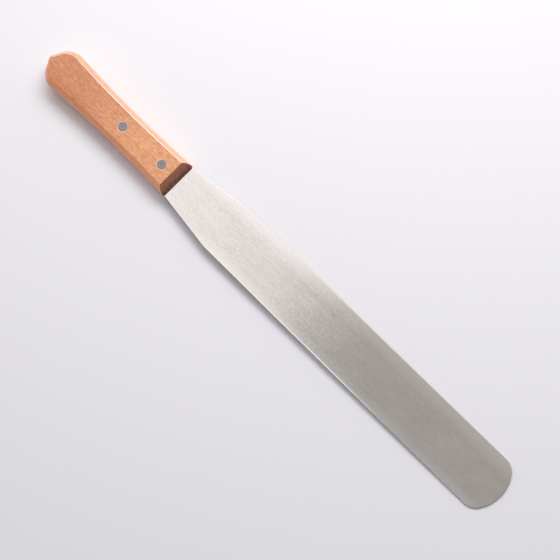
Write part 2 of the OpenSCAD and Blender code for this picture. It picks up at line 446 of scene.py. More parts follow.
@dataclass(frozen=True)
class VarnishedWood(Finish):
    """Fine-pored reddish wood under a thin satin varnish, its grain along the handle."""

    front_x: float
    rivet_xs: tuple[float, ...]
    head_r: float
    pale: Colour = linear(242, 173, 122)
    warm: Colour = linear(202, 124, 68)
    deep: Colour = linear(150, 80, 52)
    handled: Colour = linear(178, 84, 4)
    heart: Colour = linear(128, 88, 76)
    # Painted highlight colour for the +Y side.
    painted_highlight: Colour = linear(253, 218, 188)
    # Painted highlight colour for the +Y top edge.
    crest_highlight: Colour = linear(255, 244, 226)
    # Painted fill-light colour for the -Y side.
    painted_fill_light: Colour = linear(255, 172, 126)
    # Colour of the paler ring round each rivet head.
    pale_ring: Colour = linear(238, 214, 196)
    waver_size: float = 45 * MM
    waver: float = 4 * MM
    band_width: float = 4 * MM
    fibre_width: float = 0.7 * MM
    fleck_width: float = 0.8 * MM
    pore_width: float = 0.8 * MM
    pore_patch: float = 2.5 * MM
    heart_y: float = -13.4 * MM
    heart_half: float = 0.9 * MM
    heart_patch: float = 1.6 * MM
    pale_ring_width: float = 0.9 * MM
    grain_depth: float = 0.02 * MM
    held_span: Span = (-38 * MM, -98 * MM)
    gripped_span: Span = (-3 * MM, -11 * MM)
    crest_span: Span = (-122 * MM, -75 * MM)
    crest_side: Span = (0.1, 0.3)
    crest_lean: Span = (0.75, 0.82)

    def grain(self, graph: Graph, place: Socket) -> tuple[Value, Value, Value, Value]:
        """The patterns that the colour and the relief share.

        Args:
            graph: The material's graph.
            place: The place on the handle.

        Returns:
            Growth bands, fibres, flecks and short dark pores.
        """
        drift = (graph.noise(place, self.waver_size, detail=1.0) - 0.5) * self.waver
        bent = graph.shifted(place, drift)
        bands = graph.noise(graph.stretched(bent, x=0.1), self.band_width, detail=3.0)
        fibre = graph.noise(graph.stretched(bent, x=0.12), self.fibre_width, detail=2.0)
        fleck_place = graph.stretched(bent, x=0.24)
        flecks = graph.noise(fleck_place, self.fleck_width, detail=3.0, roughness=0.75)
        pores = graph.specks(graph.stretched(bent, x=0.22), self.pore_width).step(0.42, 0.12)
        pores = pores * graph.noise(place, self.pore_patch, detail=2.0).step(0.4, 0.6)
        return bands, fibre, flecks, pores

    def surface(self, graph: Graph) -> dict[str, object]:
        """Grain, darker where it is held, with painted highlights on its +Y side and edge, painted
        fill light on its -Y side, and a paler ring round the rivets.

        Args:
            graph: The material's graph.

        Returns:
            The sockets of the Principled shader.
        """
        place = graph.place()
        x, y, _ = graph.parts(place)
        ahead = x - self.front_x
        bands, fibre, flecks, pores = self.grain(graph, place)
        tone = 0.16 * bands + 0.3 * fibre + 0.54 * flecks
        colour = graph.mix(tone.step(0.36, 0.64), self.warm, self.pale)
        held = 0.47 + 0.3 * (bands - 0.5) - 0.8 * (flecks - 0.5)
        held = (held + 0.22 * y.step(*self.gripped_span)) * ahead.step(*self.held_span)
        colour = graph.mix(held, colour, self.handled)
        colour = graph.mix(0.45 * pores, colour, self.deep)

        off_heart = y - self.heart_y + (bands - 0.5) * self.band_width
        streak = abs(off_heart / self.heart_half).step(1.0, 0.2)
        broken = graph.noise(graph.stretched(place, x=0.12), self.heart_patch).step(0.35, 0.6)
        colour = graph.mix(0.25 * streak * broken, colour, self.heart)

        _, side, lean = graph.normal()
        away = side.step(-0.15, -0.7)
        # Painted fill light: the side facing -Y, away from the lamps, is made lighter and warmer.
        colour = graph.mix(away * (0.35 + 0.9 * fibre), colour, self.painted_fill_light)
        # Painted highlight: the side facing +Y, towards the lamps, is made paler.
        colour = graph.mix(side.step(0.05, 0.4) * (0.05 + 0.6 * fibre), colour, self.painted_highlight)
        # Painted highlight: a cream line along the +Y top edge, stronger towards the front.
        crest_highlight = side.step(*self.crest_side) * lean.step(*self.crest_lean)
        kept = 0.2 + 0.45 * ahead.step(*self.crest_span)
        colour = graph.mix(kept * crest_highlight, colour, self.crest_highlight)
        # A paler ring is painted round each rivet head.
        for rivet_x in self.rivet_xs:
            radius = (x - rivet_x).hypot(y)
            ring = radius.step(self.head_r + self.pale_ring_width, self.head_r)
            colour = graph.mix(0.7 * ring, colour, self.pale_ring)

        relief = 0.5 * fibre + 0.5 * flecks - 0.6 * pores
        return {
            "Base Color": colour,
            "Roughness": 0.42 + 0.2 * (flecks - 0.5) + 0.1 * pores,
            "Coat Weight": 0.9 + 0.2 * (bands - 0.5) - 0.6 * away,
            "Coat Roughness": 0.24,
            "Normal": graph.bump(relief, self.grain_depth, 0.6),
        }


@dataclass(frozen=True)
class BrownLacquer(Finish):
    """A brushed-on dark brown lacquer, a little darker towards the blade."""

    front_x: float
    coat: Colour = linear(166, 106, 84)
    darker_brown: Colour = linear(92, 54, 46)
    # Lighter worn patches, placed at random.
    wear_and_painted_shade: Colour = linear(190, 132, 106)
    mottle_size: float = 1.3 * MM
    mark_width: float = 0.5 * MM
    relief_depth: float = 0.03 * MM
    ragged: float = 2 * MM
    darker_span: Span = (-4.2 * MM, -0.2 * MM)

    def surface(self, graph: Graph) -> dict[str, object]:
        """Mottled lacquer with fine brush marks across the handle.

        Args:
            graph: The material's graph.

        Returns:
            The sockets of the Principled shader.
        """
        place = graph.place()
        ahead = graph.parts(place)[0] - self.front_x
        mottle = graph.noise(place, self.mottle_size, detail=4.0, roughness=0.7)
        marks = graph.noise(graph.stretched(place, y=0.12), self.mark_width, detail=2.0)
        # The colour is darker towards the blade.
        depth = (ahead + (mottle - 0.5) * self.ragged).step(*self.darker_span)
        colour = graph.mix(depth, self.coat, self.darker_brown)
        colour = graph.mix(0.8 * mottle.step(0.48, 0.68), colour, self.wear_and_painted_shade)
        colour = graph.mix(0.6 * mottle.step(0.5, 0.3), colour, self.darker_brown)
        return {
            "Base Color": colour,
            "Roughness": 0.4 + 0.2 * (marks - 0.5) + 0.15 * (mottle - 0.5),
            "Coat Weight": 0.15 + 0.2 * (mottle - 0.5),
            "Coat Roughness": 0.3,
            "Specular IOR Level": 0.35,
            "Normal": graph.bump(0.5 * mottle + 0.5 * marks, self.relief_depth, 0.6),
        }


@dataclass(frozen=True)
class SandedAluminium(Finish):
    """A rivet head sanded flush with the wood, with grey dust in its scratches and its rim."""

    head_r: float
    bright: Colour = linear(162, 160, 162)
    dull: Colour = linear(98, 96, 99)
    rim: Colour = linear(112, 108, 108)
    speckle_size: float = 0.45 * MM
    scratch_width: float = 0.12 * MM
    relief_depth: float = 0.012 * MM
    rim_start: float = 0.8
    rim_end: float = 0.98

    def surface(self, graph: Graph) -> dict[str, object]:
        """Speckled metal with sanding scratches, a dark rim and a brighter punched middle.

        Args:
            graph: The material's graph.

        Returns:
            The sockets of the Principled shader.
        """
        place = graph.place()
        x, y, _ = graph.parts(place)
        speckle = graph.noise(place, self.speckle_size, detail=4.0, roughness=0.75)
        scratch = graph.noise(graph.stretched(place, x=0.08), self.scratch_width, detail=2.0)
        tone = (0.6 * speckle + 0.4 * scratch).step(0.35, 0.65)
        colour = graph.mix(tone, self.dull, self.bright)
        to_rim = x.hypot(y).step(self.rim_start * self.head_r, self.rim_end * self.head_r)
        colour = graph.mix(to_rim, colour, self.rim)
        return {
            "Base Color": colour,
            "Metallic": 0.9,
            "Roughness": 0.48 + 0.3 * (speckle - 0.5),
            "Normal": graph.bump(0.5 * speckle + 0.5 * scratch, self.relief_depth, 0.7),
        }


@dataclass(frozen=True)
class TableCard(Finish):
    """The pale matt card that the tool lies on."""

    card: Colour = (0.865, 0.855, 0.88)
    fleck: Colour = (0.855, 0.845, 0.87)
    tooth_size: float = 0.8 * MM

    def surface(self, graph: Graph) -> dict[str, object]:
        """Almost even card with a very faint tooth.

        Args:
            graph: The material's graph.

        Returns:
            The sockets of the Principled shader.
        """
        tooth = graph.noise(graph.place(), self.tooth_size, detail=3.0)
        return {
            "Base Color": graph.mix(tooth, self.fleck, self.card),
            "Roughness": 0.85 + 0.1 * (tooth - 0.5),
            "Specular IOR Level": 0.2,
        }


# ---- Mesh making ----


def stops(start: float, end: float, count: int) -> list[float]:
    """Evenly spaced numbers, both ends among them.

    Args:
        start: The first number.
        end: The last number.
        count: The number of gaps between them.

    Returns:
        count + 1 numbers.
    """
    return [start + (end - start) * i / count for i in range(count + 1)]


def arc(centre: Point, radius: float, start: float, end: float, count: int) -> list[Point]:
    """Points along a circular arc.

    Args:
        centre: The circle's centre.
        radius: Its radius.
        start: The first point's direction, in radians.
        end: The last point's direction, in radians.
        count: The number of gaps between the points.

    Returns:
        The points, both ends among them.
    """
    return [
        (centre[0] + radius * math.cos(a), centre[1] + radius * math.sin(a))
        for a in stops(start, end, count)
    ]


def straight(first: Point, last: Point, count: int) -> list[Point]:
    """Evenly spaced points along a straight line.

    Args:
        first: The first point.
        last: The last point.
        count: The number of gaps between them.

    Returns:
        The points, both ends among them.
    """
    return list(zip(*(stops(*ends, count) for ends in zip(first, last, strict=True)), strict=True))


def grid(rows: int, wide: int, wraps: bool = False) -> list[list[int]]:
    """Four-cornered faces between neighbouring rows of points.

    Args:
        rows: The number of gaps between the rows.
        wide: The number of points in each row.
        wraps: Whether each row's last point is joined to its first.

    Returns:
        The faces, each a list of point numbers.
    """
    faces = []
    for low in range(0, rows * wide, wide):
        for c in range(wide if wraps else wide - 1):
            after = (c + 1) % wide
            faces.append([low + c, low + after, low + wide + after, low + wide + c])
    return faces


def linked(name: str, data: bpy.types.ID) -> Piece:
    """Makes an object and puts it in the scene.

    Args:
        name: The object's name.
        data: Its mesh, light or camera.

    Returns:
        The new object.
    """
    thing = bpy.data.objects.new(name, data)
    bpy.context.scene.collection.objects.link(thing)
    return thing


def mirrored(half: Sequence[Point]) -> list[Point]:
    """The loop that a half outline makes with its mirror image across the X axis.

    Args:
        half: Points on the +Y side, the last one on the axis.

    Returns:
        The whole loop, in order.
    """
    return [*half, *((x, -y) for x, y in reversed(half[:-1]))]


class MeshShop:
    """Makes, cuts and finishes meshes. Everything here is in metres in the tool's frame."""

    @staticmethod
    def solid(name: str, points: Sequence[Vector], faces: Sequence[Sequence[int]]) -> Piece:
        """Makes a closed solid whose faces look outwards.

        Args:
            name: The piece's name.
            points: Its points.
            faces: Its faces, each a list of point numbers.

        Returns:
            The new object.
        """
        made = bmesh.new()
        corners = [made.verts.new(p) for p in points]
        for face in faces:
            made.faces.new([corners[i] for i in face])
        bmesh.ops.recalc_face_normals(made, faces=made.faces)
        mesh = bpy.data.meshes.new(name)
        made.to_mesh(mesh)
        made.free()
        return linked(name, mesh)

    @classmethod
    def stacked(cls, name: str, rings: Sequence[Sequence[Vector]]) -> Piece:
        """Joins equal rings into a solid, with rungs across the middle of both end rings.

        Args:
            name: The piece's name.
            rings: Loops made by mirrored(), from the lowest to the highest.

        Returns:
            The new object.
        """
        size, gaps = len(rings[0]), len(rings) - 1
        faces = grid(gaps, size, wraps=True)
        for base in (0, gaps * size):
            for i in range(size // 2):
                rung = [i, i + 1, size - 2 - i, size - 1 - i]
                faces.append([base + r for r in dict.fromkeys(rung)])
        return cls.solid(name, [p for ring in rings for p in ring], faces)

    @classmethod
    def turned(cls, name: str, profile: Sequence[Point], segments: int = 72) -> Piece:
        """Turns a profile about the Z axis.

        Args:
            name: The piece's name.
            profile: Its radius and height at each point, the first and last on the axis.
            segments: The number of steps round the axis.

        Returns:
            The new object.
        """
        turns = stops(0, 2 * math.pi, segments)[:-1]
        points = [Vector((0, 0, profile[end][1])) for end in (0, -1)]
        for radius, height in profile[1:-1]:
            points += [Vector((radius * math.cos(a), radius * math.sin(a), height)) for a in turns]
        walls = [[2 + i for i in face] for face in grid(len(profile) - 3, segments, wraps=True)]
        last = len(points) - segments
        caps = []
        for s in range(segments):
            after = (s + 1) % segments
            caps += [[0, 2 + s, 2 + after], [1, last + after, last + s]]
        return cls.solid(name, points, walls + caps)

    @classmethod
    def prism(cls, name: str, loop: Sequence[Vector], along: Vector) -> Piece:
        """Sweeps a flat loop along a vector.

        Args:
            name: The piece's name.
            loop: The points of the first end.
            along: From the first end to the other.

        Returns:
            The new object.
        """
        size = len(loop)
        ends = [list(range(size)), list(range(size, 2 * size))]
        faces = grid(1, size, wraps=True) + ends
        return cls.solid(name, [*loop, *(p + along for p in loop)], faces)

    @staticmethod
    def cut(piece: Piece, cutter: Piece) -> None:
        """Takes a cutter away from a piece, and removes the cutter.

        Args:
            piece: What is cut.
            cutter: A closed solid.
        """
        modifier = piece.modifiers.new("cut", "BOOLEAN")
        modifier.operation = "DIFFERENCE"
        modifier.solver = "EXACT"
        modifier.object = cutter
        MeshShop.settle(piece)
        bpy.data.objects.remove(cutter)

    @staticmethod
    def settle(piece: Piece) -> None:
        """Replaces a piece's mesh by what its modifiers make of it.

        Args:
            piece: A piece with modifiers.
        """
        graph = bpy.context.evaluated_depsgraph_get()
        shaped = bpy.data.meshes.new_from_object(piece.evaluated_get(graph), depsgraph=graph)
        piece.modifiers.clear()
        shaped.name = piece.name
        piece.data = shaped

    @staticmethod
    def smooth(piece: Piece) -> None:
        """Merges doubled points, then shades the piece smoothly between its crisp edges.

        Args:
            piece: The piece.
        """
        tidy = bmesh.new()
        tidy.from_mesh(piece.data)
        bmesh.ops.remove_doubles(tidy, verts=tidy.verts, dist=MERGE_DISTANCE)
        bmesh.ops.dissolve_degenerate(tidy, dist=MERGE_DISTANCE, edges=tidy.edges)
        tidy.to_mesh(piece.data)
        tidy.free()
        piece.data.shade_smooth()
        piece.data.set_sharp_from_angle(angle=SHARP_ANGLE)


def deliver(piece: Piece, finish: Finish, *nodes: str) -> Piece:
    """Smooths and dresses a piece, which then rides on the tool's one body.

    Args:
        piece: The piece.
        finish: Its finish.
        nodes: The CAD nodes that it stands for.

    Returns:
        The piece.
    """
    MeshShop.smooth(piece)
    finish.dress(piece)
    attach(piece, BODY)
    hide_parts(*nodes)
    LOG.info("%s stands for %s: %d points", piece.name, ", ".join(nodes), len(piece.data.vertices))
    return piece


# ---- Handle ----


@dataclass
class HandleForm:
    """The shape of the handle before it is cut. Distances back are from its front end."""

    front_x: float
    length: float
    thickness: float
    butt_w: float
    front_w: float = 29.2 * MM
    waist_w: float = 27 * MM
    waist_pos: float = 54 * MM
    shoulder_pos: float = 16.2 * MM
    shoulder_r: float = 14.3 * MM
    peak_r: float = 5 * MM
    side_inset: float = 3.8 * MM
    front_corner_r: float = 2 * MM
    edge_r: float = 0.7 * MM
    overshoot: float = 2 * MM
    flat_margin: float = 0.35 * MM

    @classmethod
    def from_frame(cls) -> HandleForm:
        """Reads the handle's outer sizes from its CAD node."""
        low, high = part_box("handle")
        return cls(high.x, high.x - low.x, high.z - low.z, high.y - low.y)

    def __post_init__(self) -> None:
        """Works out the radii and centres of the outline's arcs."""
        half_waist = self.waist_w / 2
        rise = self.front_w / 2 - half_waist
        self.butt_x = self.front_x - self.length
        self.waist_x = self.front_x - self.waist_pos
        self.half_waist = half_waist
        self.nose_r = (self.waist_pos**2 + rise**2) / (2 * rise)
        self.shoulder = (self.butt_x + self.shoulder_pos, self.butt_w / 2 - self.shoulder_r)
        reach = self.waist_x - self.shoulder[0]
        drop = half_waist - self.shoulder[1]
        self.hollow_r = (reach**2 + drop**2 - self.shoulder_r**2) / (2 * (self.shoulder_r - drop))
        self.hollow_angle = math.asin(reach / (self.hollow_r + self.shoulder_r))
        self.peak = (self.butt_x + self.peak_r, 0.0)
        apart = (self.shoulder[0] - self.peak[0], self.shoulder[1])
        self.facet_angle = math.atan2(apart[1], apart[0]) + math.acos(
            (self.peak_r - self.shoulder_r) / math.hypot(*apart)
        )
        self.half_t = self.thickness / 2
        self.side_r = (self.side_inset**2 + self.half_t**2) / (2 * self.side_inset)

    def half_width(self, back: float) -> float:
        """Half the width in the middle plane, on the outline's two hollow arcs."""
        radius = self.nose_r if back < self.waist_pos else self.hollow_r
        return self.half_waist + radius - math.sqrt(radius**2 - (back - self.waist_pos) ** 2)

    def outline(self, inset: float) -> list[Point]:
        """The handle seen from above, moved inwards.

        Args:
            inset: How far it is moved inwards.

        Returns:
            The loop, from the front end round the butt and back.
        """
        quarter = math.pi / 2
        sweep = math.asin((self.waist_pos + self.overshoot) / self.nose_r)
        nose_mid = (self.waist_x, self.half_waist + self.nose_r)
        nose = arc(nose_mid, self.nose_r + inset, sweep - quarter, -quarter, 20)
        hollow_mid = (self.waist_x, self.half_waist + self.hollow_r)
        hollow_end = -quarter - self.hollow_angle
        hollow = arc(hollow_mid, self.hollow_r + inset, -quarter, hollow_end, 22)
        turn_start = quarter - self.hollow_angle
        turn_r = self.shoulder_r - inset
        turn = arc(self.shoulder, turn_r, turn_start, self.facet_angle, 26)
        facet_end = arc(self.peak, self.peak_r - inset, self.facet_angle, math.pi, 12)
        facet = straight(turn[-1], facet_end[0], 5)[1:-1]
        butt = [*facet_end[:-1], (facet_end[-1][0], 0.0)]
        return mirrored([*nose, *hollow[1:], *turn[1:], *facet, *butt])

    def side_profile(self) -> list[Point]:
        """Inset and height above the middle plane, up the rounded side and over the eased edge.

        Returns:
            The points from the middle plane to the flat face.
        """
        flat = self.half_t - self.edge_r
        ease_x = self.side_r - math.sqrt((self.side_r - self.edge_r) ** 2 - flat**2)
        meet = math.atan2(flat, self.side_r - ease_x)
        side = [
            (self.side_r * (1 - math.cos(a)), self.side_r * math.sin(a))
            for a in stops(0, meet, 11)
        ]
        ease = [
            (ease_x - self.edge_r * math.cos(a), flat + self.edge_r * math.sin(a))
            for a in stops(meet, math.pi / 2, 5)
        ]
        return [*side, *ease[1:], (ease_x + self.flat_margin, self.half_t)]

    def blank(self, name: str) -> Piece:
        """The uncut handle, a little too long at the front.

        Args:
            name: The piece's name.

        Returns:
            The new object.
        """
        upper = self.side_profile()
        levels = [(inset, -height) for inset, height in reversed(upper[1:])] + upper
        rings = [
            [Vector((x, y, self.half_t + height)) for x, y in self.outline(inset)]
            for inset, height in levels
        ]
        return MeshShop.stacked(name, rings)

    def section_half(self, back: float, z: float) -> float:
        """Half the width of the handle's section near its rounded front corners.

        Args:
            back: The distance from the front end.
            z: The height above the table side.

        Returns:
            Half the width.
        """
        corner = self.front_corner_r
        lean = self.side_r - math.sqrt(self.side_r**2 - (z - self.half_t) ** 2)
        into_corner = max(corner - back, 0.0)
        return self.half_width(back) - lean - (corner - math.sqrt(corner**2 - into_corner**2))


@dataclass
class Bevel:
    """The slope that runs down from a flat face to the lip above the blade, and the film on it."""

    form: HandleForm
    run: float = 6.1 * MM
    lip_z: float = 8.0 * MM
    film_t: float = 0.15 * MM

    @property
    def rise(self) -> float:
        """The height of the slope."""
        return self.form.thickness - self.lip_z

    @property
    def film_back(self) -> float:
        """The film's thickness measured along X."""
        return self.film_t * math.hypot(self.run, self.rise) / self.rise

    @property
    def film_down(self) -> float:
        """The film's thickness measured along Z."""
        return self.film_t * math.hypot(self.run, self.rise) / self.run

    def on_slope(self, share: float, depth: float) -> Point:
        """A place on the slope, in the XZ plane.

        Args:
            share: 0 at the slope's foot, by the blade, and 1 at its head.
            depth: 0 on the film's surface and 1 on the wood under it.

        Returns:
            The distance from the front end, and the height.
        """
        run = self.run + self.film_back * depth
        foot = self.lip_z - self.film_down * depth
        return run * share, foot + (self.form.thickness - foot) * share


@dataclass
class WoodenHandle:
    """The one-piece handle: bevelled and rounded in front, sawn for the tang, bored for rivets."""

    form: HandleForm
    bevel: Bevel
    blade: SteelBlade
    rivet: RivetPair
    saw_r: float = 60 * MM
    saw_steps: int = 240
    kerf_spare: float = 2 * MM
    kerf_gap: float = 0.1 * MM
    rivet_gap: float = 0.02 * MM
    bore_rim: float = 0.12 * MM
    spare: float = 3 * MM

    def bevel_cutter(self, face: Face) -> Piece:
        """Everything outside the wooden slope of one face.

        Args:
            face: The face that the slope starts from.

        Returns:
            A closed solid.
        """
        form, bevel = self.form, self.bevel
        foot_back, foot_z = bevel.on_slope(0, 1)
        head_back, head_z = bevel.on_slope(1, 1)
        lift = self.spare / (head_z - foot_z)
        past_back = head_back + (head_back - foot_back) * lift
        ahead = form.front_x + 2 * self.spare
        side = [
            (form.front_x - foot_back, foot_z),
            (form.front_x - past_back, head_z + self.spare),
            (ahead, head_z + self.spare),
            (ahead, form.half_t),
            (form.front_x, form.half_t),
        ]
        mid, flip = form.half_t, face.value
        loop = [Vector((x, -form.butt_w, mid + flip * (z - mid))) for x, z in side]
        return MeshShop.prism(f"bevel_{face.name}", loop, Vector((0, 2 * form.butt_w, 0)))

    def corner_cutter(self, side: int) -> Piece:
        """What rounding one of the front end's corners takes away.

        Args:
            side: 1 for the +Y corner and -1 for the other.

        Returns:
            A closed solid.
        """
        form = self.form
        radius = form.front_corner_r
        centre = (form.front_x - radius, form.front_w / 2 - radius)
        far = (centre[0] + 2 * radius, centre[1] + 2 * radius)
        rounded = arc(centre, radius, 0, math.pi / 2, 12)
        plan = [*rounded, (centre[0], far[1]), far, (far[0], centre[1])]
        loop = [Vector((x, side * y, -self.spare)) for x, y in plan]
        return MeshShop.prism("corner", loop, Vector((0, 0, form.thickness + 2 * self.spare)))

    def kerf_cutter(self) -> Piece:
        """The saw's disc, as deep as it goes into the handle.

        Returns:
            A closed solid.
        """
        saw_x = self.blade.tang_x - self.kerf_spare + self.saw_r
        kerf_t = self.blade.thickness + self.kerf_gap
        low = self.form.half_t - kerf_t / 2
        disc = arc((saw_x, 0), self.saw_r, 0, 2 * math.pi, self.saw_steps)[:-1]
        loop = [Vector((x, y, low)) for x, y in disc]
        return MeshShop.prism("saw", loop, Vector((0, 0, kerf_t)))

    def bore_cutter(self, x: float) -> Piece:
        """A bore for one rivet, with a sink for a head at each face and softened rims.

        Args:
            x: The rivet's place along the handle.

        Returns:
            A closed solid.
        """
        rim, spare, sink = self.bore_rim, self.spare, self.rivet.head_h
        bore_r = self.rivet.tube_r + self.rivet_gap
        sink_r = self.rivet.head_r + self.rivet_gap
        lower = [
            (0.0, -spare),
            (sink_r + rim + spare, -spare),
            (sink_r + rim, 0.0),
            (sink_r, rim),
            (sink_r, sink),
            (bore_r, sink),
        ]
        upper = [(radius, self.form.thickness - z) for radius, z in reversed(lower)]
        cutter = MeshShop.turned("bore", lower + upper)
        cutter.location.x = x
        return cutter

    def build(self, finish: Finish) -> Piece:
        """Cuts the handle out of its blank.

        Args:
            finish: The handle's finish.

        Returns:
            The finished piece.
        """
        handle = self.form.blank("wooden_handle")
        cutters = [self.bevel_cutter(face) for face in Face]
        cutters += [self.corner_cutter(side) for side in (1, -1)]
        cutters.append(self.kerf_cutter())
        cutters += [self.bore_cutter(x) for x in self.blade.rivet_xs]
        for cutter in cutters:
            MeshShop.cut(handle, cutter)
        return deliver(handle, finish, "handle")


@dataclass
class LacquerFilms:
    """The two films of lacquer on the front bevels, thinner towards their edges."""

    form: HandleForm
    bevel: Bevel
    rows: int = 20
    columns: int = 64
    thinning: float = 0.5 * MM
    edge_share: float = 0.3

    def fullness(self, to_edge: float) -> float:
        """The film's share of its full thickness at a distance from its edge."""
        inwards = min(to_edge / self.thinning, 1.0)
        return self.edge_share + (1 - self.edge_share) * math.sqrt(1 - (1 - inwards) ** 2)

    def sheet(self, depth: float) -> list[Vector]:
        """One side of the top film, row by row from its foot to its head.

        Args:
            depth: 0 for its surface and 1 for the side on the wood.

        Returns:
            The points.
        """
        form = self.form
        slope = math.hypot(self.bevel.run, self.bevel.rise)
        shares = [0.5 - 0.5 * math.cos(a) for a in stops(0, math.pi, self.rows)]
        points = []
        for share in shares:
            for angle in stops(-math.pi / 2, math.pi / 2, self.columns):
                across = math.sin(angle)
                back, z = self.bevel.on_slope(share, depth)
                half = form.section_half(back, z)
                to_edge = min((1 - abs(across)) * half, (1 - share) * slope, share * slope)
                sunk = depth + (1 - depth) * (1 - self.fullness(to_edge))
                back, z = self.bevel.on_slope(share, sunk)
                half = form.section_half(back, z)
                points.append(Vector((form.front_x - back, across * half, z)))
        return points

    def build(self, face: Face, finish: Finish) -> Piece:
        """Makes the film of one face.

        Args:
            face: The face that its bevel starts from.
            finish: The film's finish.

        Returns:
            The finished piece.
        """
        wide = self.columns + 1
        outer, inner = self.sheet(0), self.sheet(1)
        size = len(outer)
        faces = grid(self.rows, wide)
        faces += [[size + i for i in reversed(cell)] for cell in faces]
        last = self.rows * wide
        rim = [*range(wide), *range(2 * wide - 1, last, wide)]
        rim += [*range(last + wide - 1, last - 1, -1), *range(last - wide, 0, -wide)]
        for here, after in zip(rim, [*rim[1:], rim[0]], strict=True):
            faces.append([here, after, size + after, size + here])
        mid, flip = self.form.half_t, face.value
        points = [Vector((p.x, p.y, mid + flip * (p.z - mid))) for p in [*outer, *inner]]
        side = face.name.lower()
        film = MeshShop.solid(f"lacquer_film_{side}", points, faces)
        return deliver(film, finish, f"front_lacquer_{side}")


# ---- Blade ----


@dataclass
class SteelBlade:
    """The sheet-steel blade with its tang, tapered to the tip and eased along its edges."""

    form: HandleForm
    tang_x: float
    tip_x: float
    width: float
    thickness: float
    rivet_xs: Sequence[float]
    tip_t: float = 0.8 * MM
    root_w: float = 28 * MM
    flare_l: float = 45.5 * MM
    flare_r: float = 30 * MM
    tip_r: float = 27 * MM
    tip_corner_r: float = 11.5 * MM
    tang_inset: float = 0.4 * MM
    tang_corner_r: float = 4 * MM
    tang_hole_r: float = 2.45 * MM
    ease_in: float = 0.4 * MM
    ease_down: float = 0.2 * MM
    flat_margin: float = 0.3 * MM

    @classmethod
    def from_frame(cls, form: HandleForm, rivet_xs: Sequence[float]) -> SteelBlade:
        """Reads the blade's outer sizes from its CAD node.

        Args:
            form: The handle that the tang follows.
            rivet_xs: The places of the rivets along the tool.

        Returns:
            The blade.
        """
        low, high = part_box("blade")
        return cls(form, low.x, high.x, high.y - low.y, high.z - low.z, rivet_xs)

    def half_plan(self) -> list[Point]:
        """The +Y half of the blade and tang, from the corner of the tang's rear edge to the tip.

        Returns:
            The points, the last one on the centre line.
        """
        form, quarter, half_w = self.form, math.pi / 2, self.width / 2
        tang_l, rear_r = form.front_x - self.tang_x, self.tang_corner_r
        rear_y = form.half_width(tang_l) - self.tang_inset - rear_r
        rear = arc((self.tang_x + rear_r, rear_y), rear_r, math.pi, quarter, 10)
        sides = [
            (form.front_x - back, form.half_width(back) - self.tang_inset)
            for back in stops(tang_l - rear_r, 0, 24)[1:-1]
        ]
        flare_angle = math.atan2(half_w - self.root_w / 2, self.flare_l)
        eased_x = form.front_x + self.flare_l + self.flare_r * math.tan(flare_angle / 2)
        shoulder_mid = (eased_x, half_w - self.flare_r)
        shoulder = arc(shoulder_mid, self.flare_r, quarter + flare_angle, quarter, 8)
        flare = straight((form.front_x, self.root_w / 2), shoulder[0], 12)[:-1]
        tip_mid_x = self.tip_x - self.tip_r
        inner_r = self.tip_r - self.tip_corner_r
        corner_y = half_w - self.tip_corner_r
        corner_mid = (tip_mid_x + math.sqrt(inner_r**2 - corner_y**2), corner_y)
        tip_angle = math.asin(corner_y / inner_r)
        corner = arc(corner_mid, self.tip_corner_r, quarter, tip_angle, 24)
        edge = straight(shoulder[-1], corner[0], 30)[1:-1]
        tip = arc((tip_mid_x, 0), self.tip_r, tip_angle, 0, 24)[1:]
        return [*rear, *sides, *flare, *shoulder, *edge, *corner, *tip]

    def half_thickness(self, x: float) -> float:
        """Half the sheet's thickness, which tapers from the handle to the tip."""
        share = max((x - self.form.front_x) / (self.tip_x - self.form.front_x), 0.0)
        return (self.thickness + (self.tip_t - self.thickness) * share) / 2

    @staticmethod
    def moved_in(half: Sequence[Point], inset: float) -> list[Point]:
        """Moves a half plan inwards, at right angles to its own run.

        Args:
            half: Its points, the last one on the centre line.
            inset: How far it is moved.

        Returns:
            The moved points.
        """
        before = (half[0][0], -half[0][1])
        after = (half[-2][0], -half[-2][1])
        chain = [Vector(p) for p in (before, *half, after)]
        moved = []
        for back, here, ahead in zip(chain, chain[1:], chain[2:], strict=False):
            first, second = (here - back).normalized(), (ahead - here).normalized()
            normals = Vector((first.y, -first.x)), Vector((second.y, -second.x))
            middle = (normals[0] + normals[1]).normalized()
            shift = middle * (inset / max(middle.dot(normals[0]), 0.5))
            moved.append((here.x + shift.x, here.y + shift.y))
        return [*moved[:-1], (moved[-1][0], 0.0)]

    def build(self, finish: Finish) -> Piece:
        """Lofts the blade between its two faces and punches the tang's holes.

        Args:
            finish: The blade's finish.

        Returns:
            The finished piece.
        """
        half = self.half_plan()
        ease = [
            (self.ease_in * (1 - math.cos(a)), self.ease_down * (1 - math.sin(a)))
            for a in stops(0, math.pi / 2, 6)
        ]
        upper = [*ease, (self.ease_in + self.flat_margin, 0.0)]
        levels = [(inset, drop, -1) for inset, drop in reversed(upper)]
        levels += [(inset, drop, 1) for inset, drop in upper]
        mid_z = self.form.half_t
        rings = []
        for inset, drop, way in levels:
            ring = []
            for x, y in mirrored(self.moved_in(half, inset)):
                ring.append(Vector((x, y, mid_z + way * (self.half_thickness(x) - drop))))
            rings.append(ring)
        blade = MeshShop.stacked("steel_blade", rings)
        for x in self.rivet_xs:
            hole = arc((x, 0), self.tang_hole_r, 0, 2 * math.pi, 48)[:-1]
            loop = [Vector((px, py, 0)) for px, py in hole]
            MeshShop.cut(blade, MeshShop.prism("hole", loop, Vector((0, 0, self.form.thickness))))
        return deliver(blade, finish, "blade")


# ---- Rivets ----


